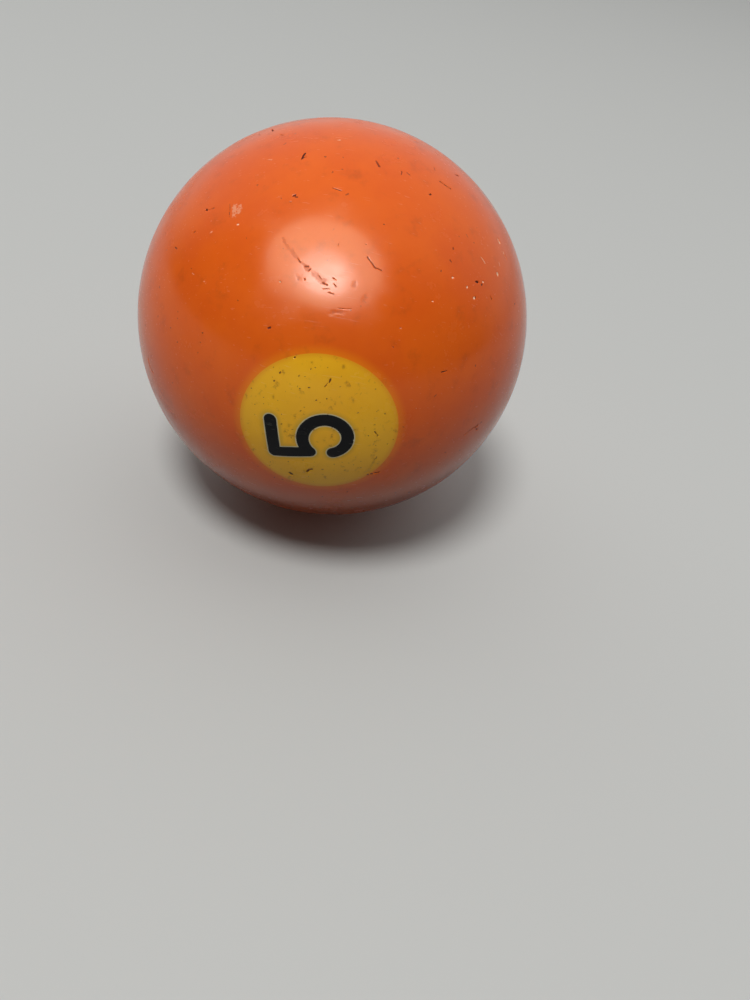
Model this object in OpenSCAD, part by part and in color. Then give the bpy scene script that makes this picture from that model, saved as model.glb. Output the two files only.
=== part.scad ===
// Numbered pool ball, in millimetres.
//
// The origin is the centre of the ball and +Z is up, with the ball resting on a table
// at z = -ball_d / 2. The two number plugs share one axis, the Y axis: the front plug
// faces -Y and the back plug faces +Y. Every outer face lies on the same sphere,
// because a real ball is ground and polished after its plugs are set.

/* [Ball] */
// Diameter of the finished ball
ball_d = 57.15; // [48:0.05:70]

/* [Number plugs] */
// Diameter of each plug, which is also the number disc that it shows
plug_d = 20; // [18:0.5:24]
// Depth of each plug's flat bottom below the crown of the ball
plug_depth = 7; // [6:0.5:10]

/* [Numeral] */
// Height of the numeral over its round-ended strokes
numeral_h = 11.4; // [10:0.1:12]
// Width of the numeral over its round-ended strokes
numeral_w = 7.2; // [6.8:0.1:8]
// Width of the stroke
stroke_w = 1.6; // [1.2:0.1:1.8]
// Depth of the numeral's flat bottom below the crown of the ball
numeral_depth = 3; // [2.5:0.1:4]
// Turn of the numeral about the plug's axis, counter-clockwise as it is read
numeral_turn = 105; // [0:5:355]
// Shift of the numeral's centre from the plug's axis, to the right
numeral_right = -1; // [-1.2:0.1:1.2]
// Shift of the numeral's centre from the plug's axis, upwards
numeral_up = -1.2; // [-1.2:0.1:1.2]

/* [Hidden] */
ball_r = ball_d / 2;
stroke_r = stroke_w / 2;
// How far an inlay's prism runs out past the crown, so that the sphere alone ends it
past_crown = 5;

// The numeral 5 is one stroke with round ends: a bar, a stem, a bowl and a tail. These
// values run along the middle of the stroke and start from the numeral's centre.
bar_slope = 4;
corner_inset = 0.65;
corner = [-numeral_w / 2 + stroke_r + corner_inset, numeral_h / 2 - stroke_r];
bar_run = numeral_w / 2 - stroke_r - corner.x;
bar_end = corner + bar_run * [1, -tan(bar_slope)];
bowl_r = 2.9;
bowl_centre = [-0.4, -numeral_h / 2 + stroke_r + bowl_r];
bowl_start = 128;
bowl_end = -60;
stem_foot = bowl_centre + bowl_r * unit(bowl_start);
stem_turn = atan2(stem_foot.y - corner.y, stem_foot.x - corner.x);
// The tail bends tighter than the bowl, and leaves it without a kink
tail_r = 2.45;
tail_centre = bowl_centre + (bowl_r - tail_r) * unit(bowl_end);
tail_turn = -174;
tail_tip = tail_centre + tail_r * unit(tail_turn);

// The inside corner of bar and stem, on the line that halves the angle between them
armpit_half = (-bar_slope - stem_turn) / 2;
armpit = corner + stroke_r / sin(armpit_half) * unit(stem_turn + armpit_half);
// Where the outside of the bowl meets the right side of the stem
stem_side = stem_turn + 90;
side_gap = stroke_r - (bowl_centre - stem_foot) * unit(stem_side);
bowl_meets_stem = stem_side + acos(side_gap / (bowl_r + stroke_r));

// Largest step between two points of a round stretch, in degrees
arc_step = 8;

function unit(angle) = [cos(angle), sin(angle)];

// Points round an arc from angle start to angle end
function arc(centre, radius, start, end) =
    let (steps = ceil(abs(end - start) / arc_step))
    [for (i = [0 : steps]) centre + radius * unit(start + (end - start) * i / steps)];

// The outline of the numeral, anticlockwise from the lower side of the bar's end
numeral_outline = concat(
    arc(bar_end, stroke_r, -bar_slope - 90, -bar_slope + 90),
    arc(corner, stroke_r, -bar_slope + 90, stem_turn + 270),
    arc(stem_foot, stroke_r, stem_turn + 270, bowl_start + 180),
    arc(bowl_centre, bowl_r - stroke_r, bowl_start - arc_step, bowl_end),
    arc(tail_centre, tail_r - stroke_r, bowl_end - arc_step, tail_turn + arc_step),
    arc(tail_tip, stroke_r, tail_turn + 180, tail_turn + 360),
    arc(tail_centre, tail_r + stroke_r, tail_turn + arc_step, bowl_end - arc_step),
    arc(bowl_centre, bowl_r + stroke_r, bowl_end, bowl_meets_stem),
    [armpit]
);

$fn = 96;

// The whole sphere, with its poles on the plugs' axis
module sphere_of_ball() {
    rotate([90, 0, 0]) sphere(r = ball_r);
}

// Stands a prism in the front of the ball, on a flat bottom at this depth. The prism's
// X axis is to the right and its Y axis upwards, as the front plug is read.
module set_in_front(depth) {
    translate([0, depth - ball_r, 0]) rotate([90, 0, 0]) children();
}

// The back of the ball is its front after half a turn
module at_back() {
    rotate(180) children();
}

module plug_space() {
    set_in_front(plug_depth) cylinder(h = plug_depth + past_crown, d = plug_d);
}

// The space of the numeral in the front plug
module numeral_space() {
    set_in_front(numeral_depth) translate([numeral_right, numeral_up, 0])
        rotate(numeral_turn) linear_extrude(numeral_depth + past_crown)
            polygon(numeral_outline);
}

module numeral() {
    intersection() {
        sphere_of_ball();
        numeral_space();
    }
}

module number_plug() {
    difference() {
        intersection() {
            sphere_of_ball();
            plug_space();
        }
        numeral_space();
    }
}

module ball_body() {
    color("#D2571E") difference() {
        sphere_of_ball();
        plug_space();
        at_back() plug_space();
    }
}

module number_plug_front() {
    color("#D9A728") number_plug();
}

module number_plug_back() {
    color("#D9A728") at_back() number_plug();
}

module numeral_front() {
    color("#15151A") numeral();
}

module numeral_back() {
    color("#15151A") at_back() numeral();
}

ball_body();
number_plug_front();
number_plug_back();
numeral_front();
numeral_back();
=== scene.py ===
"""Looks of a worn, numbered pool ball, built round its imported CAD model.

Every visible piece is a closed mesh of its own on the CAD model's sphere: the coloured body,
a plug with the number disc on each side, and a numeral in each plug. Nicks, chips and scratches
are cut into the meshes. Lengths are in millimetres until a mesh is made.
"""

import math

import bpy
import numpy as np
from mathutils import Matrix, Vector, geometry


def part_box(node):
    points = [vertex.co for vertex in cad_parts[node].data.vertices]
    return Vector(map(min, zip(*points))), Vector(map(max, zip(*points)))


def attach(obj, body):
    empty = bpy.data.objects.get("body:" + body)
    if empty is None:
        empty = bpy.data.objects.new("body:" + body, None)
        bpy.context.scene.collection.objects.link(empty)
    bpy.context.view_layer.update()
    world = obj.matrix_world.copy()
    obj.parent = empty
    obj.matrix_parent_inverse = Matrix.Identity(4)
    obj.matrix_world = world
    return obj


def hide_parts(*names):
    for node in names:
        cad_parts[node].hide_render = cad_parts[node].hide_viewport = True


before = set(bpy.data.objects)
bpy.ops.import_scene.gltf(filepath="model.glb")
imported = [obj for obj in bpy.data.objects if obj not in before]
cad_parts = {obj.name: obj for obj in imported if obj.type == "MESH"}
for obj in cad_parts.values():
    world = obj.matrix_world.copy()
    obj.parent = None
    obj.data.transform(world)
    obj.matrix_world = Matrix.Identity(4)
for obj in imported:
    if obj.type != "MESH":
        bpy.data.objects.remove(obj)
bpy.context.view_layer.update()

MM = 0.001
rng = np.random.default_rng(57)

# Sizes of the CAD model
plug_low, plug_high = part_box("number_plug_front")
BALL_R = -plug_low.y / MM
PLUG_R = plug_high.x / MM
PLUG_FLOOR = -plug_high.y / MM
NUMERAL_FLOOR = -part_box("numeral_front")[1].y / MM
EDGE_ANGLE = math.asin(PLUG_R / BALL_R)

# Distance between mesh points far from any mark, near one and in one
COARSE, MIDDLE, FINE = 0.85, 0.28, 0.085
# The same on a disc, far from its marks and its numeral and near them
DISC_COARSE, DISC_FINE = 0.24, 0.11
# How far from a mark's rim the points are still close together, and fairly close together
NEAR, NEARBY = 0.3, 1.1
# Points along the edge of a number disc, and the longest step along a numeral's outline
EDGE_POINTS = 240
OUTLINE_STEP = 0.25
# Bands without scattered points: outside a disc's edge, inside it and beside an outline
OUTER_BAND, INNER_BAND, OUTLINE_BAND = 0.6, 0.2, 0.07


# ---------------------------------------------------------------- marks of wear


# What each kind of mark does to the surface: depth in millimetres, dirt and paleness, and how
# fully it covers its area
KINDS = {
    "nick": (0.12, 1.0, 0.0, 1.0),
    "faint": (0.03, 0.45, 0.0, 0.85),
    "pit": (0.05, 0.85, 0.0, 1.0),
    "chip": (0.10, 0.0, 1.0, 0.95),
    "scuff": (0.01, 0.0, 0.33, 0.6),
    "smear": (0.01, 0.2, 0.0, 0.69),
}

# Marks on the body: kind, longitude from the front and latitude in degrees, length and width
# in millimetres, and the turn of its length from due east in degrees
BODY_MARKS = [
    ("nick", -38, 68, 1.5, 0.34, -70),
    ("nick", -36.5, 67.6, 0.8, 0.22, -110),
    ("pit", -24, 70.5, 0.35, 0.3, 0),
    ("nick", -25, 56, 0.6, 0.3, 50),
    ("nick", -24, 55.8, 0.45, 0.2, 10),
    ("faint", -25, 54, 0.4, 0.2, 20),
    ("faint", -29.5, 54, 0.3, 0.25, 0),
    ("nick", -56, 42, 0.6, 0.3, 20),
    ("faint", -54, 43, 1.0, 0.16, 50),
    ("nick", -54, 36, 0.5, 0.18, 60),
    ("nick", -58, 29.5, 0.75, 0.22, 5),
    ("faint", -62.5, 27, 0.6, 0.2, 30),
    ("nick", -7.5, 61, 1.3, 0.18, -8),
    ("faint", 17, 71.5, 1.3, 0.45, 100),
    ("nick", 16.5, 72.5, 0.7, 0.18, 95),
    ("faint", 33, 68.5, 0.9, 0.3, 60),
    ("faint", 38, 68, 0.8, 0.25, 110),
    ("nick", 60.5, 62.3, 2.0, 0.24, -62),
    ("faint", 66, 67.5, 0.8, 0.2, 40),
    ("nick", 44, 61, 0.5, 0.26, 10),
    ("faint", 14.5, 53, 0.4, 0.25, 0),
    ("faint", 9.6, 43, 1.9, 0.3, -50),
    ("faint", 11.6, 41.8, 1.2, 0.2, -20),
    ("faint", -2, 46.5, 0.5, 0.14, 90),
    ("faint", 7.5, 47.5, 0.3, 0.2, 0),
    ("faint", 42, 46, 0.5, 0.3, 60),
    ("faint", 52, 48, 0.7, 0.2, 100),
    ("faint", 39, 43, 0.6, 0.35, 120),
    ("pit", 34, 41, 0.4, 0.26, 60),
    ("nick", 48, 36.5, 0.7, 0.36, -20),
    ("pit", 50, 35.5, 0.4, 0.3, 0),
    ("nick", 53, 31.5, 0.7, 0.2, -70),
    ("pit", 67, 26, 0.4, 0.25, 0),
    ("nick", 32, 16.5, 1.0, 0.2, 4),
    ("pit", -16.5, 23.5, 0.5, 0.3, 30),
    ("faint", 16.5, 23.5, 0.35, 0.25, 0),
    ("faint", -35, 16, 0.35, 0.22, 0),
    ("faint", -35, 13.5, 0.3, 0.22, 0),
    ("faint", -47, 12, 0.35, 0.22, 30),
    ("nick", -58, -4.3, 1.5, 0.24, -62),
    ("nick", -56, -5.8, 1.1, 0.22, -10),
    ("faint", -56, -1, 0.6, 0.2, 70),
    ("faint", -44, -2.5, 0.4, 0.25, 0),
    ("faint", 43, 16, 0.4, 0.25, 60),
    ("faint", 43, 6, 0.4, 0.22, 30),
    ("nick", 45, -4.2, 2.2, 0.14, 22),
    ("nick", 48, -3.6, 0.9, 0.34, 35),
    ("nick", 48.6, -5, 0.7, 0.3, -30),
    ("nick", 61, -11.5, 0.9, 0.24, 15),
    ("faint", 38, -9.5, 0.5, 0.25, 0),
    ("pit", 11, -22.5, 0.35, 0.25, 0),
    ("nick", -54, -23, 1.2, 0.2, -50),
    ("faint", -29, -35, 1.5, 0.12, -20),
    ("faint", -31, -38, 0.6, 0.3, 10),
    ("faint", -20, -41, 0.5, 0.3, 0),
    ("pit", 2.5, -38, 0.35, 0.25, 0),
    ("pit", 5.5, -32.5, 0.3, 0.25, 0),
    ("pit", 13, -39, 0.35, 0.25, 0),
    ("nick", -95, 66, 1.6, 0.26, 20),
    ("nick", -78, 69, 0.8, 0.24, 30),
    ("faint", -93, 62.5, 0.9, 0.24, 10),
    ("nick", 110, 75, 1.8, 0.26, 40),
    ("faint", 97, 56, 1.0, 0.24, 60),
    ("nick", 83, 62, 1.0, 0.24, -40),
    ("scuff", -44.2, 45.9, 2.7, 1.4, -48),
    ("scuff", -42.9, 46.9, 2.2, 1.2, -52),
    ("faint", -46, 45.4, 2.2, 0.16, -46),
    ("chip", -39, 43.5, 0.5, 0.35, 20),
    ("scuff", -53, 62, 1.0, 0.4, 30),
    ("chip", -28, 79, 0.6, 0.22, 40),
    ("chip", -17, 34.5, 0.4, 0.3, 0),
    ("scuff", -47, 38.5, 0.8, 0.5, 60),
    ("scuff", -45, 27.5, 0.7, 0.3, 0),
    ("scuff", -40, 27.5, 0.5, 0.3, 40),
    ("chip", 38, 39, 0.4, 0.35, 0),
    ("chip", 55, 41, 1.2, 0.18, -70),
    ("chip", 72, 42.5, 0.9, 0.4, 80),
    ("chip", 71, 38.5, 1.3, 0.24, 85),
    ("scuff", 64, 38, 0.9, 0.4, 70),
    ("chip", 60.5, 36, 0.8, 0.5, 100),
    ("chip", 51, 36, 0.4, 0.35, 0),
    ("chip", 43, 36, 0.42, 0.3, 60),
    ("faint", 45.6, 33, 0.6, 0.6, 0),
    ("chip", 45, 33, 0.5, 0.5, 0),
    ("chip", 29, 34, 0.3, 0.22, 0),
    ("chip", 18.5, 28, 0.25, 0.2, 0),
    ("chip", 24.5, 7.5, 0.25, 0.2, 0),
    ("scuff", 15.5, -26, 1.3, 0.5, 10),
    ("scuff", 12.5, -28, 0.8, 0.4, 0),
    ("scuff", 22, -41, 1.4, 0.6, 15),
    ("smear", -19.3, 43.5, 2.4, 0.9, -42),
    ("smear", -15.5, 41.6, 2.2, 1.1, -42),
    ("smear", -11, 39.6, 2.2, 1.0, -40),
    ("smear", -6, 37.6, 3.0, 1.5, -25),
    ("faint", -13.4, 40.6, 0.9, 0.3, -40),
    ("faint", -10.6, 39.6, 0.8, 0.36, 10),
    ("faint", -9.4, 39.0, 0.6, 0.26, 60),
    ("faint", -4, 36.5, 0.9, 0.34, -15),
    ("faint", -5.8, 37.8, 0.7, 0.2, -40),
    ("faint", -1.5, 38, 0.7, 0.16, -30),
    ("faint", -1.0, 36.6, 0.6, 0.16, -40),
    ("faint", -3.5, 35.4, 1.0, 0.16, 10),
    ("faint", -1.8, 34.6, 0.8, 0.14, -10),
    ("smear", -12, 36.5, 1.3, 1.1, -60),
    ("faint", -10.2, 36.6, 0.45, 0.4, 0),
    ("smear", 4.5, 37.5, 1.2, 0.9, 80),
    ("smear", 8, 34.5, 1.6, 1.2, 50),
    ("faint", 2.5, 31.5, 1.8, 0.14, 4),
    ("smear", 0.5, 30.5, 2.2, 0.8, 12),
]

# Marks on the front disc: kind, right and up from its centre, length, width and turn
DISC_MARKS = [
    ("nick", -2.8, -8.2, 0.9, 0.5, -35),
    ("nick", -0.6, -7.0, 0.8, 0.5, 70),
    ("faint", -0.3, -6.6, 0.9, 0.5, 20),
    ("nick", 7.3, 0.3, 1.1, 0.22, -50),
    ("smear", 7.5, -5.0, 3.0, 0.9, 82),
    ("smear", 7.1, -6.0, 1.6, 0.8, 60),
    ("nick", 8.0, -6.7, 1.8, 0.26, 18),
    ("pit", -5.5, 6.8, 0.45, 0.3, 60),
    ("pit", 0.6, 7.05, 0.8, 0.34, 75),
    ("faint", 0.2, 6.4, 0.8, 0.3, 60),
    ("pit", -0.75, 4.3, 0.35, 0.28, 30),
    ("faint", -0.2, 4.1, 0.4, 0.2, 0),
    ("pit", -1.8, 5.75, 0.4, 0.24, 0),
    ("pit", -2.9, 5.4, 0.3, 0.24, 0),
    ("pit", -6.1, 5.6, 0.35, 0.26, 30),
    ("pit", 7.9, 3.2, 0.35, 0.3, 0),
    ("pit", 0.5, 4.7, 0.3, 0.2, 90),
    ("pit", -8.8, 3.8, 0.35, 0.25, 0),
    ("faint", -7.2, 3.1, 0.3, 0.25, 0),
    ("faint", -8.2, 1.8, 0.4, 0.25, 40),
    ("pit", 9.0, -1.35, 0.35, 0.3, 0),
    ("pit", 6.3, 0.0, 0.3, 0.25, 0),
    ("faint", 5.7, 1.2, 0.3, 0.25, 0),
    ("faint", -1.4, 8.25, 0.4, 0.25, 10),
    ("faint", -1.9, 8.0, 0.4, 0.25, 60),
    ("nick", -3.9, 9.0, 0.5, 0.2, 60),
    ("faint", 7.9, -3.6, 0.6, 0.25, 80),
    ("faint", 1.3, -6.3, 0.5, 0.3, 0),
    # The last two are white specks on the numeral: painted glints, also cut in as shallow chips.
    ("chip", 4.6, -0.8, 0.22, 0.18, 0),
    ("chip", 2.6, 0.1, 0.18, 0.16, 0),
]

# Share of each kind among the marks strewn over the sides that the list doesn't cover
STREWN_KINDS = ["nick"] * 5 + ["faint"] * 9 + ["pit"] * 6 + ["chip"] * 5 + ["scuff"] * 3
STREWN_MARKS = 150
STREWN_SIZES = {
    "nick": ((0.5, 1.9), (0.18, 0.3)),
    "faint": ((0.3, 1.4), (0.14, 0.3)),
    "pit": ((0.3, 0.5), (0.24, 0.34)),
    "chip": ((0.25, 0.9), (0.18, 0.4)),
    "scuff": ((0.8, 2.8), (0.4, 1.0)),
}


def direction_at(longitude, latitude):
    """Unit vector from the ball's centre, with longitude 0 at the front and 90 at +X."""
    east, north = math.radians(longitude), math.radians(latitude)
    flat = math.cos(north)
    return np.array([math.sin(east) * flat, -math.cos(east) * flat, math.sin(north)])


def on_disc(right, up):
    """Unit vector to a point of the front disc."""
    return np.array([right, -math.sqrt(BALL_R**2 - right**2 - up**2), up]) / BALL_R


class Mark:
    """One mark of wear: where it is, how it lies and what it does."""

    def __init__(self, kind, centre, length, width, turn):
        east = np.cross([0, 0, 1], centre)
        east /= np.linalg.norm(east)
        north = np.cross(centre, east)
        swing = math.radians(turn)
        self.centre = centre
        self.along = math.cos(swing) * east + math.sin(swing) * north
        self.across = math.cos(swing) * north - math.sin(swing) * east
        self.half_width = width / 2
        self.half_run = max(length / 2 - self.half_width, 0)
        self.depth, self.dirt, self.pale, self.fullness = KINDS[kind]
        # The bend of the mark, and the waves that make its rim ragged
        self.bend = rng.uniform(-0.1, 0.1)
        self.waves = rng.normal(size=(5, 3)) * 5
        self.phases = rng.uniform(0, 2 * math.pi, 5)

    def near(self, directions, margin):
        """Indices of the directions that may be within margin of the mark."""
        reach = (self.half_run + self.half_width + margin) / BALL_R
        return np.nonzero(directions @ self.centre > math.cos(reach))[0]

    def distance(self, directions):
        """Distance in millimetres from the line in the middle of the mark."""
        run = directions @ self.along * BALL_R
        side = directions @ self.across * BALL_R - self.bend * run**2
        return np.hypot(np.maximum(np.abs(run) - self.half_run, 0), side)

    def cover(self, directions):
        """How far inside the mark each direction is, from 0 at its ragged rim to 1."""
        ragged = np.sin(directions @ self.waves.T * BALL_R + self.phases).mean(1)
        reach = self.half_width * (1 + 0.5 * ragged)
        return np.clip(1.25 * (1 - self.distance(directions) / reach), 0, 1)


def strewn_marks():
    """Marks for the back, the underside and the back disc, which the lists leave out."""
    listed_centre, listed_reach = direction_at(0, 25), math.radians(78)
    marks = []
    while len(marks) < STREWN_MARKS:
        centre = rng.normal(size=3)
        centre /= np.linalg.norm(centre)
        listed = centre @ listed_centre > math.cos(listed_reach)
        kind = STREWN_KINDS[rng.integers(len(STREWN_KINDS))]
        lengths, widths = STREWN_SIZES[kind]
        size = (rng.uniform(*lengths), rng.uniform(*widths), rng.uniform(0, 180))
        if not listed:
            marks.append(Mark(kind, centre, *size))
    return marks


marks = [Mark(kind, direction_at(lon, lat), *size) for kind, lon, lat, *size in BODY_MARKS]
marks += [Mark(kind, on_disc(right, up), *size) for kind, right, up, *size in DISC_MARKS]
marks += strewn_marks()


def distance_to_marks(directions, farthest=2.0):
    """Distance in millimetres to the rim of the nearest mark, at most the farthest."""
    nearest = np.full(len(directions), farthest)
    for mark in marks:
        near = mark.near(directions, farthest)
        gap = mark.distance(directions[near]) - mark.half_width
        nearest[near] = np.minimum(nearest[near], gap)
    return nearest


def wear(directions):
    """Depth in millimetres, cover, dirt and paleness at each direction."""
    ragged_rim = 0.5
    depth, cover, dirt, pale = np.zeros((4, len(directions)))
    for mark in marks:
        near = mark.near(directions, ragged_rim)
        inside = mark.cover(directions[near])
        smooth = inside * inside * (3 - 2 * inside)
        depth[near] = np.maximum(depth[near], mark.depth * smooth)
        deeper = mark.fullness * inside > cover[near]
        over = near[deeper]
        cover[over] = mark.fullness * inside[deeper]
        dirt[over], pale[over] = mark.dirt, mark.pale
    return depth, cover, dirt, pale


def worn_normals(directions):
    """Surface normals of the worn sphere, from its slope over a short step each way."""
    step = 0.02 / BALL_R
    east = np.cross([0.3, 0.2, 1.0], directions)
    east /= np.linalg.norm(east, axis=1)[:, None]
    north = np.cross(directions, east)
    normals = directions.copy()
    for tangent in (east, north):
        deeper = wear(directions + step * tangent)[0] - wear(directions - step * tangent)[0]
        normals += tangent * (deeper / (2 * step * BALL_R))[:, None]
    return normals / np.linalg.norm(normals, axis=1)[:, None]


# ---------------------------------------------------------------- meshes


def lattice(spacing):
    """Evenly spread unit directions this far apart on the ball, wound round the Y axis."""
    count = int(4 * math.pi * BALL_R**2 / (spacing**2 * math.sqrt(0.75)))
    index = np.arange(count)
    y = 1 - (2 * index + 1) / count
    turn = index * math.pi * (3 - math.sqrt(5))
    radius = np.sqrt(1 - y * y)
    return np.stack([radius * np.cos(turn), y, radius * np.sin(turn)], 1)


def graded_lattice(keep):
    """Directions that keep() accepts, closer together near and in the marks."""
    bands = ((COARSE, NEARBY, math.inf), (MIDDLE, NEAR, NEARBY), (FINE, -math.inf, NEAR))
    kept = []
    for spacing, nearest, farthest in bands:
        points = lattice(spacing)
        points = points[keep(points)]
        gap = distance_to_marks(points)
        kept.append(points[(gap >= nearest) & (gap < farthest)])
    return np.concatenate(kept)


def edge_circle(angle, start=0.0):
    """Directions round the Y axis, this angle away from the front."""
    turn = (np.arange(EDGE_POINTS) + start) * 2 * math.pi / EDGE_POINTS
    ring = [np.cos(turn) * math.sin(angle), np.full(EDGE_POINTS, -math.cos(angle))]
    return np.stack([*ring, np.sin(turn) * math.sin(angle)], 1)


def triangulate(flat, loops):
    """Triangles over points of a plane that keep the edges of closed loops of indices."""
    edges = [(int(a), int(b)) for loop in loops for a, b in zip(loop, np.roll(loop, -1))]
    points = [Vector(point) for point in flat.tolist()]
    made = geometry.delaunay_2d_cdt(points, edges, [], 0, 1e-7)
    source = [origins[0] for origins in made[3]]
    return np.array([[source[corner] for corner in face] for face in made[2]])


# Distance from the numeral's outline that points away from the discs carry, in millimetres
FAR_FROM_RIM = 9.0


class Solid:
    """The points, faces and corner normals of one closed piece."""

    def __init__(self):
        self.points, self.normals, self.faces = [], [], []
        self.values = {"cover": [], "dirt": [], "pale": [], "rim": []}

    def add_points(self, points, rim=None, worn=None):
        """Adds points and returns their indices. worn is what wear() gives for them."""
        start = len(self.points)
        self.points += list(np.array(points, float))
        _, cover, dirt, pale = np.zeros((4, len(points))) if worn is None else worn
        if rim is None:
            rim = np.full(len(points), FAR_FROM_RIM)
        for key, values in (("cover", cover), ("dirt", dirt), ("pale", pale), ("rim", rim)):
            self.values[key] += list(values)
        return np.arange(start, len(self.points))

    def add_worn_surface(self, directions, faces, rim=None):
        """Adds faces on the ball's own surface and returns the indices of their points."""
        worn = wear(directions)
        points = directions * (BALL_R - worn[0])[:, None]
        indices = self.add_points(points, rim, worn)
        normals = worn_normals(directions)
        self.faces += indices[faces].tolist()
        self.normals += normals[faces].reshape(-1, 3).tolist()
        return indices

    def add_flat(self, faces, normal):
        """Adds faces of one plane."""
        for face in faces:
            self.faces.append([int(i) for i in face])
            self.normals += [normal] * len(face)

    def add_wall(self, upper, lower):
        """Adds a wall of flat strips between two closed loops of points."""
        for a, b, c, d in zip(upper, lower, np.roll(lower, -1), np.roll(upper, -1)):
            normal = np.cross(self.points[c] - self.points[b], self.points[a] - self.points[b])
            self.add_flat([(a, b, c, d)], (normal / np.linalg.norm(normal)).tolist())

    def add_disc(self, loop, middle, normal):
        """Closes a round loop with triangles to its middle."""
        self.add_flat([(a, b, middle) for a, b in zip(loop, np.roll(loop, -1))], normal)

    def build(self, name, node, material):
        """Makes the mesh object that is shown in place of a CAD node."""
        mesh = bpy.data.meshes.new(name)
        mesh.from_pydata((np.array(self.points) * MM).tolist(), [], self.faces)
        for key, values in self.values.items():
            attribute = mesh.attributes.new(key, "FLOAT", "POINT")
            attribute.data.foreach_set("value", np.array(values, np.float32))
        mesh.shade_smooth()
        mesh.normals_split_custom_set(self.normals)
        mesh.materials.append(material)
        piece = bpy.data.objects.new(name, mesh)
        bpy.context.scene.collection.objects.link(piece)
        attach(piece, "root")
        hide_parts(node)
        return piece


def numeral_outline():
    """Outline of the front numeral's flat bottom, anticlockwise as it is read.

    It is made of the edges that only one face of that flat bottom has.
    """
    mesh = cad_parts["numeral_front"].data
    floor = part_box("numeral_front")[1].y
    spots = [(round(v.co.x / MM, 4), round(v.co.z / MM, 4)) for v in mesh.vertices]
    level = [abs(v.co.y - floor) < 0.001 * MM for v in mesh.vertices]
    onward = {}
    for polygon in mesh.polygons:
        corners = list(polygon.vertices)
        if all(level[i] for i in corners):
            for a, b in zip(corners, corners[1:] + corners[:1]):
                onward.setdefault(spots[a], set()).add(spots[b])
    border = {}
    for a, ends in onward.items():
        for b in ends:
            if a not in onward.get(b, ()):
                border[b] = a
    outline = [next(iter(border))]
    while border[outline[-1]] != outline[0]:
        outline.append(border[outline[-1]])
    return np.array(outline)


def divided(loop, longest):
    """A closed loop of flat points with its long edges divided."""
    points = []
    for a, b in zip(loop, np.roll(loop, -1, 0)):
        parts = max(1, math.ceil(np.linalg.norm(b - a) / longest))
        points += [a + (b - a) * part / parts for part in range(parts)]
    return np.array(points)


def distance_to_loop(points, loop):
    """Distance of flat points from a closed loop."""
    nearest = np.full(len(points), np.inf)
    for a, b in zip(loop, np.roll(loop, -1, 0)):
        edge = b - a
        share = np.clip((points - a) @ edge / (edge @ edge), 0, 1)
        gap = np.linalg.norm(points - a - share[:, None] * edge, axis=1)
        nearest = np.minimum(nearest, gap)
    return nearest


def inside_loop(points, loop):
    """Whether each flat point lies inside a closed loop."""
    inside = np.zeros(len(points), bool)
    for (ax, ay), (bx, by) in zip(loop, np.roll(loop, -1, 0)):
        spans = (ay > points[:, 1]) != (by > points[:, 1])
        crossing = ax + (points[:, 1] - ay) / ((by - ay) or 1) * (bx - ax)
        inside ^= spans & (points[:, 0] < crossing)
    return inside


def make_body(material):
    """The coloured body: the sphere between its two discs, and a round pocket under each."""
    step = 2 * math.pi * math.sin(EDGE_ANGLE) / EDGE_POINTS
    margin = EDGE_ANGLE + OUTER_BAND / BALL_R
    front, back = edge_circle(EDGE_ANGLE), edge_circle(math.pi - EDGE_ANGLE)
    beside_front = edge_circle(EDGE_ANGLE + step, 0.5)
    beside_back = edge_circle(math.pi - EDGE_ANGLE - step, 0.5)
    field = graded_lattice(lambda points: np.abs(points[:, 1]) < math.cos(margin))
    directions = np.concatenate([front, back, beside_front, beside_back, field])
    # Seen from the back pole, circles on the ball stay circles in the plane
    flat = directions[:, [0, 2]] / (1 - directions[:, 1:2])
    front_loop = np.arange(EDGE_POINTS)
    back_loop = front_loop + EDGE_POINTS
    faces = triangulate(flat, [front_loop, back_loop])
    faces = faces[(faces >= EDGE_POINTS).any(1)]
    solid = Solid()
    surface = solid.add_worn_surface(directions, faces)
    for side, loop in ((-1, front_loop), (1, back_loop)):
        rim = directions[loop] * BALL_R
        rim[:, 1] = side * PLUG_FLOOR
        floor = solid.add_points(rim)
        centre = solid.add_points([(0, side * PLUG_FLOOR, 0)])[0]
        upper = surface[loop]
        if side < 0:
            upper, floor = upper[::-1], floor[::-1]
        solid.add_wall(upper, floor)
        solid.add_disc(floor[::-1], centre, (0, side, 0))
    return solid.build("body_resin", "ball_body", material)


def disc_lattice(spacing, turned, outline):
    """Flat points inside a disc's edge, with their distances from the numeral's outline and
    from the nearest outline or mark."""
    directions = lattice(spacing)
    directions = directions[directions[:, 1] < -math.cos(EDGE_ANGLE - INNER_BAND / BALL_R)]
    flat = directions[:, [0, 2]] * BALL_R
    from_outline = distance_to_loop(flat, outline)
    return flat, from_outline, np.minimum(distance_to_marks(directions * turned), from_outline)


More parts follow.
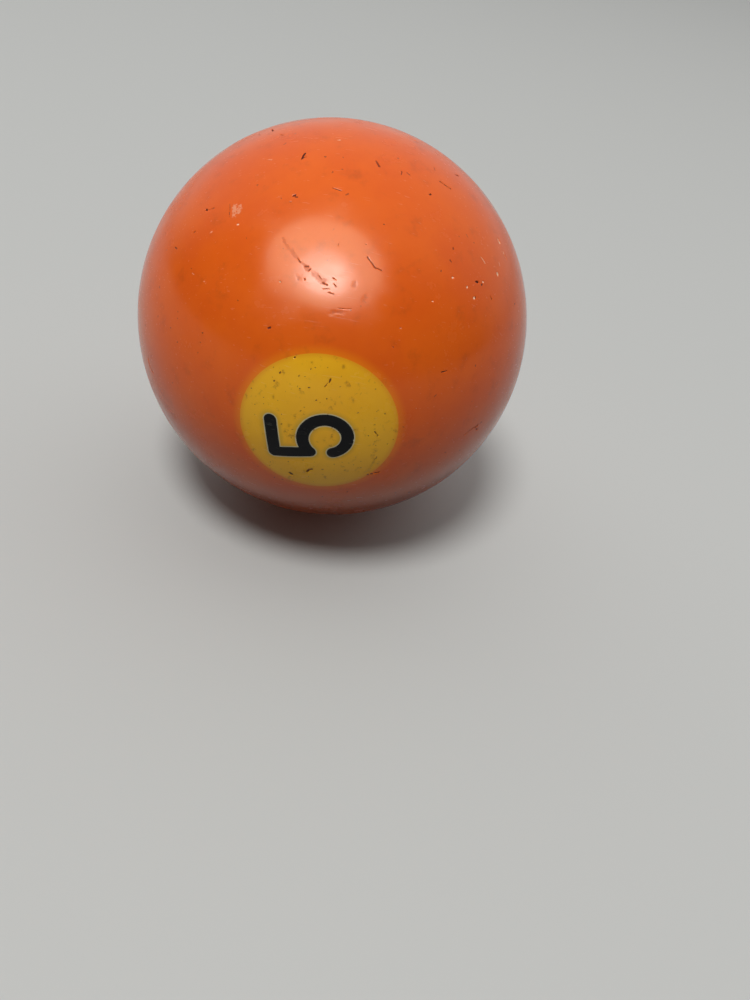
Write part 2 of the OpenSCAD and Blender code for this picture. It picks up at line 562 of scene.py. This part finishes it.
class DiscLayout:
    """The triangles that a plug and its numeral share, drawn flat as the front disc is read."""

    def __init__(self, side):
        self.turned = np.array([-side, -side, 1.0])
        outline = divided(numeral_outline(), OUTLINE_STEP)
        # Rounded as the triangulation rounds it, so that both agree on which side a point lies
        self.outline = outline.astype(np.float32).astype(float)
        coarse, _, coarse_gap = disc_lattice(DISC_COARSE, self.turned, self.outline)
        fine, from_outline, fine_gap = disc_lattice(DISC_FINE, self.turned, self.outline)
        fine = fine[(fine_gap < NEAR) & (from_outline > OUTLINE_BAND)]
        circle = edge_circle(EDGE_ANGLE)[:, [0, 2]] * BALL_R
        self.flat = np.concatenate([self.outline, circle, coarse[coarse_gap >= NEAR], fine])
        self.outline_loop = np.arange(len(self.outline))
        self.circle_loop = np.arange(EDGE_POINTS) + len(self.outline)
        self.faces = triangulate(self.flat, [self.outline_loop, self.circle_loop])
        self.in_numeral = inside_loop(self.flat[self.faces].mean(1), self.outline)
        height = np.sqrt(BALL_R**2 - (self.flat**2).sum(1))
        front = np.stack([self.flat[:, 0], -height, self.flat[:, 1]], 1)
        self.directions = front / BALL_R * self.turned
        floor_faces = triangulate(self.outline, [self.outline_loop])
        inside = inside_loop(self.outline[floor_faces].mean(1), self.outline)
        self.floor_faces = floor_faces[inside]

    def floor_points(self, loop, depth_y):
        """Points of a loop on the flat bottom that is this far from the ball's centre."""
        x, z = self.flat[loop].T
        return np.stack([x, np.full(len(loop), -depth_y), z], 1) * self.turned

    def add_surface(self, solid, chosen):
        """Adds the chosen faces to a solid, and returns the index that each flat point has
        in it, or -1."""
        used, packed = np.unique(self.faces[chosen], return_inverse=True)
        rim = distance_to_loop(self.flat[used], self.outline)
        indices = np.full(len(self.flat), -1)
        indices[used] = solid.add_worn_surface(
            self.directions[used], packed.reshape(-1, 3), rim
        )
        return indices


def make_numeral(side, where, layout, material):
    """The numeral of one side: its worn face, its wall and its flat bottom."""
    solid = Solid()
    indices = layout.add_surface(solid, layout.in_numeral)
    bottom = solid.add_points(layout.floor_points(layout.outline_loop, NUMERAL_FLOOR))
    solid.add_wall(indices[layout.outline_loop], bottom)
    solid.add_flat(bottom[layout.floor_faces[:, ::-1]], (0, -side, 0))
    return solid.build(f"numeral_{where}_resin", f"numeral_{where}", material)


def make_plug(side, where, layout, material):
    """The plug of one side, with the numeral's slot in it."""
    solid = Solid()
    indices = layout.add_surface(solid, ~layout.in_numeral)
    slot_floor = solid.add_points(layout.floor_points(layout.outline_loop, NUMERAL_FLOOR))
    solid.add_wall(indices[layout.outline_loop][::-1], slot_floor[::-1])
    solid.add_flat(slot_floor[layout.floor_faces], (0, side, 0))
    base = solid.add_points(layout.floor_points(layout.circle_loop, PLUG_FLOOR))
    centre = solid.add_points([(0, side * PLUG_FLOOR, 0)])[0]
    solid.add_wall(indices[layout.circle_loop], base)
    solid.add_disc(base[::-1], centre, (0, -side, 0))
    return solid.build(f"plug_{where}_resin", f"number_plug_{where}", material)


def make_disc(side, where, plug_material, numeral_material):
    """A numeral and its plug. side is -1 at the front and 1 at the back."""
    layout = DiscLayout(side)
    numeral = make_numeral(side, where, layout, numeral_material)
    return make_plug(side, where, layout, plug_material), numeral


# ---------------------------------------------------------------- materials


class Nodes:
    """A node tree under construction. Its helpers take sockets or plain values."""

    def __init__(self, tree):
        self.tree = tree

    def feed(self, socket, value):
        if isinstance(value, bpy.types.NodeSocket):
            self.tree.links.new(value, socket)
        elif value is not None:
            socket.default_value = value

    def vector(self, operation, a, b=None, scale=None):
        node = self.tree.nodes.new("ShaderNodeVectorMath")
        node.operation = operation
        self.feed(node.inputs[0], a)
        self.feed(node.inputs[1], b)
        if scale is not None:
            self.feed(node.inputs["Scale"], scale)
        return node.outputs["Value" if operation in ("LENGTH", "DOT_PRODUCT") else "Vector"]

    def math(self, operation, a, b=None):
        node = self.tree.nodes.new("ShaderNodeMath")
        node.operation = operation
        self.feed(node.inputs[0], a)
        self.feed(node.inputs[1], b)
        return node.outputs[0]

    def ramp(self, value, low, high, low_out=0.0, high_out=1.0, smooth=True):
        """Goes from low_out to high_out as the value goes from low to high."""
        node = self.tree.nodes.new("ShaderNodeMapRange")
        node.interpolation_type = "SMOOTHSTEP" if smooth else "LINEAR"
        for socket, given in zip(node.inputs, (value, low, high, low_out, high_out)):
            self.feed(socket, given)
        return node.outputs[0]


class Shader(Nodes):
    """One node material under construction."""

    def __init__(self, name):
        self.material = bpy.data.materials.new(name)
        self.material.use_nodes = True
        super().__init__(self.material.node_tree)
        self.principled = self.tree.nodes["Principled BSDF"]
        place = self.tree.nodes.new("ShaderNodeTexCoord")
        self.position = self.vector("SCALE", place.outputs["Object"], scale=1 / MM)

    def attribute(self, name):
        node = self.tree.nodes.new("ShaderNodeAttribute")
        node.attribute_name = name
        return node.outputs["Fac"]

    def noise(self, scale, detail=3.0, roughness=0.5, vector=None):
        """Noise with this many bumps to the millimetre."""
        node = self.tree.nodes.new("ShaderNodeTexNoise")
        self.feed(node.inputs["Vector"], vector or self.position)
        node.inputs["Scale"].default_value = scale
        node.inputs["Detail"].default_value = detail
        node.inputs["Roughness"].default_value = roughness
        return node.outputs[0]

    def mix(self, share, a, b):
        node = self.tree.nodes.new("ShaderNodeMix")
        node.data_type = "RGBA"
        self.feed(node.inputs["Factor"], share)
        colours = [socket for socket in node.inputs if socket.type == "RGBA"]
        for socket, colour in zip(colours, (a, b)):
            self.feed(socket, colour)
        return next(socket for socket in node.outputs if socket.type == "RGBA")

    def from_axis(self):
        """Distance in millimetres from the axis through both discs."""
        return self.vector("LENGTH", self.vector("MULTIPLY", self.position, (1, 0, 1)))

    def hairlines(self, turn, stretch, keep):
        """Thin scratches along one direction, where stretched noise is above keep."""
        node = self.tree.nodes.new("ShaderNodeMapping")
        self.feed(node.inputs["Vector"], self.position)
        node.inputs["Rotation"].default_value = [math.radians(a) for a in turn]
        node.inputs["Scale"].default_value = (stretch, 1, 1)
        lines = self.noise(3.2, 2, 0.5, node.outputs["Vector"])
        return self.ramp(lines, keep, keep + 0.08)

    def specks(self, scale, reach, rare):
        """Small uneven dots, in those cells of a random pattern that draw more than rare."""
        node = self.tree.nodes.new("ShaderNodeTexVoronoi")
        wobble = self.math("MULTIPLY", self.noise(1.7, 2), 0.9)
        self.feed(node.inputs["Vector"], self.vector("ADD", self.position, wobble))
        node.inputs["Scale"].default_value = scale
        dot = self.ramp(node.outputs["Distance"], reach, reach * 0.5)
        split = self.tree.nodes.new("ShaderNodeSeparateColor")
        self.feed(split.inputs[0], node.outputs["Color"])
        return self.math("MULTIPLY", dot, self.math("GREATER_THAN", split.outputs[0], rare))


def colour(*channels):
    """A colour with the opacity that the sockets ask for."""
    return (*channels, 1.0)


def marked(shader, soiled, soil, grit, pale):
    """Colour of a soiled surface with its marks, and how much dirt and bare resin shows."""
    # Noise breaks the rims of the marks, and the whole of a thin smear or scuff
    flecks = shader.math("SUBTRACT", shader.noise(3.4, 5, 0.65), 0.5)
    cover = shader.math("ADD", shader.attribute("cover"), shader.math("MULTIPLY", flecks, 1.7))
    cover = shader.ramp(cover, 0.38, 0.62)
    dirt = shader.math("MULTIPLY", cover, shader.attribute("dirt"))
    chipped = shader.math("MULTIPLY", cover, shader.attribute("pale"))
    stained = shader.mix(shader.ramp(dirt, 0.05, 0.5), soiled, soil)
    dark = shader.mix(shader.ramp(dirt, 0.5, 1), stained, grit)
    return shader.mix(chipped, dark, pale), dirt, chipped


def fine_bump(shader, lines):
    """Faint unevenness all over, and a groove for each hairline."""
    bump = shader.tree.nodes.new("ShaderNodeBump")
    grain = shader.math("MULTIPLY", shader.noise(1.6, 3), 0.25)
    shader.feed(bump.inputs["Height"], shader.math("SUBTRACT", grain, lines))
    bump.inputs["Strength"].default_value = 0.12
    bump.inputs["Distance"].default_value = 0.02 * MM
    return bump.outputs["Normal"]


def worn_resin(
    name,
    tone,
    deep_tone,
    soil,
    grit,
    pale,
    grime_scale,
    grime_range,
    speck_scale,
    speck_share,
    ior,
    tint=None,
):
    """Polished cast resin that has been played with for years.

    The clean colour lies between tone and deep_tone, and tint(shader, clean) may add to it.
    soil is light dirt, grit is dirt in a mark and pale is a bare chip. grime_range gives two
    values of the grime noise and the share of soil at each.
    """
    shader = Shader(name)
    mottle = shader.ramp(shader.noise(0.11, 4, 0.6), 0.3, 0.75)
    clean = shader.mix(mottle, tone, deep_tone)
    if tint:
        clean = tint(shader, clean)
    grime = shader.ramp(shader.noise(grime_scale, 6, 0.65), *grime_range)
    soiled = shader.mix(grime, clean, soil)
    dots = shader.specks(speck_scale, reach=0.16, rare=1 - speck_share)
    dots = shader.math("MULTIPLY", dots, 0.75)
    soiled = shader.mix(dots, soiled, soil)
    lines = shader.math(
        "MAXIMUM",
        shader.hairlines(turn=(20, 40, 65), stretch=0.05, keep=0.67),
        shader.hairlines(turn=(70, 10, 130), stretch=0.06, keep=0.68),
    )
    scratched = shader.mix(shader.math("MULTIPLY", lines, 0.04), soiled, pale)
    final, dirt, chipped = marked(shader, scratched, soil, grit, pale)

    haze = shader.ramp(shader.noise(0.2, 5, 0.6), 0.4, 0.75, 0.17, 0.3)
    harm = shader.math("MULTIPLY", shader.math("MAXIMUM", dirt, chipped), 0.5)
    scuffed = shader.math("MULTIPLY", lines, 0.14)
    roughness = shader.math("ADD", shader.math("ADD", haze, harm), scuffed)

    sockets = shader.principled.inputs
    shader.feed(sockets["Base Color"], final)
    # Dirt is matte
    shader.feed(sockets["Specular IOR Level"], shader.ramp(dirt, 0, 0.45, 0.5, 0.12))
    shader.feed(sockets["Roughness"], roughness)
    shader.feed(sockets["Normal"], fine_bump(shader, lines))
    sockets["IOR"].default_value = ior
    return shader.material


def painted_glow_edge(shader, clean):
    """Painted glow: a brighter orange painted into the body's colour round each disc, in place of
    light that leaks through the resin.
    """
    share = shader.ramp(shader.from_axis(), PLUG_R + 1.3, PLUG_R - 0.1, 0, 0.62)
    return shader.mix(share, clean, colour(0.95, 0.24, 0.008))


def disc_edge(shader, clean):
    """The disc fades into the body at its edge, and a grey line runs round its numeral."""
    fade = shader.ramp(shader.from_axis(), PLUG_R - 0.8, PLUG_R + 0.1, 0, 0.85)
    warm = shader.mix(fade, clean, colour(0.86, 0.33, 0.014))
    halo = shader.ramp(shader.attribute("rim"), 0.9, 0.1, 0, 0.4)
    shaded = shader.mix(halo, warm, colour(0.42, 0.26, 0.04))
    line = shader.ramp(shader.attribute("rim"), 0.17, 0.09, 0, 0.75)
    return shader.mix(line, shaded, colour(0.56, 0.56, 0.46))


# ---------------------------------------------------------------- stage, light and camera


def make_floor():
    """A plain pale floor under the ball. It shows in the ball's gloss but doesn't light it."""
    half = 2.0
    mesh = bpy.data.meshes.new("floor")
    corners = [(-half, -half), (half, -half), (half, half), (-half, half)]
    mesh.from_pydata([(x, y, -BALL_R * MM) for x, y in corners], [], [(0, 1, 2, 3)])
    material = bpy.data.materials.new("floor")
    material.use_nodes = True
    principled = material.node_tree.nodes["Principled BSDF"]
    principled.inputs["Base Color"].default_value = colour(0.6, 0.61, 0.6)
    principled.inputs["Roughness"].default_value = 0.75
    mesh.materials.append(material)
    floor = bpy.data.objects.new("floor", mesh)
    floor.visible_diffuse = False
    bpy.context.scene.collection.objects.link(floor)
    return floor


# Colours of the lights
NEUTRAL = (1.0, 0.99, 0.97)
SUNNY = (0.98, 1.03, 0.9)
WARM = (1.0, 0.98, 0.7)
# Distance of the lights from the ball, in metres
LIGHT_DISTANCE = 2.0
# Grey of the room where the camera sees it directly
BACKDROP = 0.5


def make_light(name, direction, size, radiance, lit, tint=NEUTRAL, diffuse=True, glossy=True):
    """A soft oval light that faces the ball and lights one group of objects."""
    data = bpy.data.lights.new(name, "AREA")
    data.shape = "ELLIPSE"
    data.size, data.size_y = size
    data.energy = radiance * math.pi * math.pi / 4 * size[0] * size[1]
    data.color = tint
    light = bpy.data.objects.new(name, data)
    towards = Vector(direction).normalized()
    light.location = towards * LIGHT_DISTANCE
    light.rotation_euler = towards.to_track_quat("Z", "Y").to_euler()
    light.light_linking.receiver_collection = lit
    light.visible_diffuse, light.visible_glossy = diffuse, glossy
    bpy.context.scene.collection.objects.link(light)


def light_group(name, objects):
    """Objects that some of the lights are kept to."""
    group = bpy.data.collections.new(name)
    for each in objects:
        group.objects.link(each)
    return group


def make_world(front, behind, below):
    """A grey room, brighter behind the ball and over it, with a dim lower half."""
    world = bpy.data.worlds.new("room")
    world.use_nodes = True
    nodes = Nodes(world.node_tree)
    outward = nodes.tree.nodes.new("ShaderNodeTexCoord").outputs["Generated"]
    bright_side = Vector((0.12, 0.8, 0.58)).normalized()
    upper = nodes.ramp(nodes.vector("DOT_PRODUCT", outward, bright_side), 0.1, 0.6, front, behind)
    height = nodes.vector("DOT_PRODUCT", outward, (0, 0, 1))
    level = nodes.ramp(height, -0.06, 0, below, upper, smooth=False)
    # The backdrop is the same pale grey from every side
    seen = nodes.tree.nodes.new("ShaderNodeLightPath").outputs["Is Camera Ray"]
    background = nodes.tree.nodes["Background"].inputs
    nodes.feed(background["Strength"], nodes.ramp(seen, 0, 1, level, BACKDROP, smooth=False))
    nodes.feed(background["Color"], colour(1.0, 1.0, 0.99))
    bpy.context.scene.world = world


def make_camera():
    """A camera close above the ball's front, tilted down and rolled a little."""
    data = bpy.data.cameras.new("camera")
    data.lens = 30.6
    data.clip_start = 0.01
    camera = bpy.data.objects.new("camera", data)
    heading = Matrix.Rotation(math.radians(-5.2), 4, "Z")
    tilt = Matrix.Rotation(math.radians(90 - 38.5), 4, "X")
    roll = Matrix.Rotation(math.radians(11.4), 4, "Z")
    place = Matrix.Translation(Vector((0.7, -116.2, 60.5)) * MM)
    camera.matrix_world = place @ heading @ tilt @ roll
    bpy.context.scene.collection.objects.link(camera)
    bpy.context.scene.camera = camera


orange = worn_resin(
    "orange_resin",
    tone=colour(0.85, 0.128, 0.008),
    deep_tone=colour(0.79, 0.105, 0.008),
    soil=colour(0.27, 0.035, 0.012),
    grit=colour(0.09, 0.014, 0.010),
    pale=colour(0.95, 0.62, 0.45),
    grime_scale=0.32,
    grime_range=(0.52, 0.8, 0, 0.3),
    speck_scale=0.9,
    speck_share=0.08,
    ior=1.38,
    tint=painted_glow_edge,
)
yellow = worn_resin(
    "yellow_resin",
    tone=colour(0.98, 0.49, 0.018),
    deep_tone=colour(0.92, 0.43, 0.016),
    soil=colour(0.33, 0.082, 0.008),
    grit=colour(0.09, 0.028, 0.009),
    pale=colour(0.9, 0.8, 0.55),
    grime_scale=0.9,
    grime_range=(0.57, 0.72, 0, 0.6),
    speck_scale=1.2,
    speck_share=0.4,
    ior=1.38,
    tint=disc_edge,
)
black = worn_resin(
    "black_resin",
    tone=colour(0.004, 0.004, 0.006),
    deep_tone=colour(0.006, 0.006, 0.008),
    soil=colour(0.012, 0.011, 0.01),
    grit=colour(0.02, 0.018, 0.016),
    pale=colour(0.8, 0.8, 0.75),
    grime_scale=0.32,
    grime_range=(0.52, 0.8, 0, 0.3),
    speck_scale=0.8,
    speck_share=0.1,
    ior=1.22,
)

pieces = [make_body(orange)]
for side, where in ((-1, "front"), (1, "back")):
    pieces += make_disc(side, where, yellow, black)
on_ball = light_group("lit_ball", pieces)
on_floor = light_group("lit_floor", [make_floor()])
make_world(front=0.06, behind=0.56, below=0.05)
make_light("window", (-0.15, -0.5, 0.85), (2.4, 1.75), 5.6, on_ball, tint=WARM, diffuse=False)
make_light("window_core", (-0.14, -0.6, 0.79), (0.95, 0.72), 15.0, on_ball, diffuse=False)
make_light("key", (-0.2, -0.46, 0.865), (2.4, 1.9), 3.45, on_ball, tint=SUNNY, glossy=False)
make_light("above", (-0.15, -0.33, 0.93), (0.65, 0.65), 22.0, on_floor)
make_camera()
bpy.context.scene.view_settings.view_transform = "Standard"
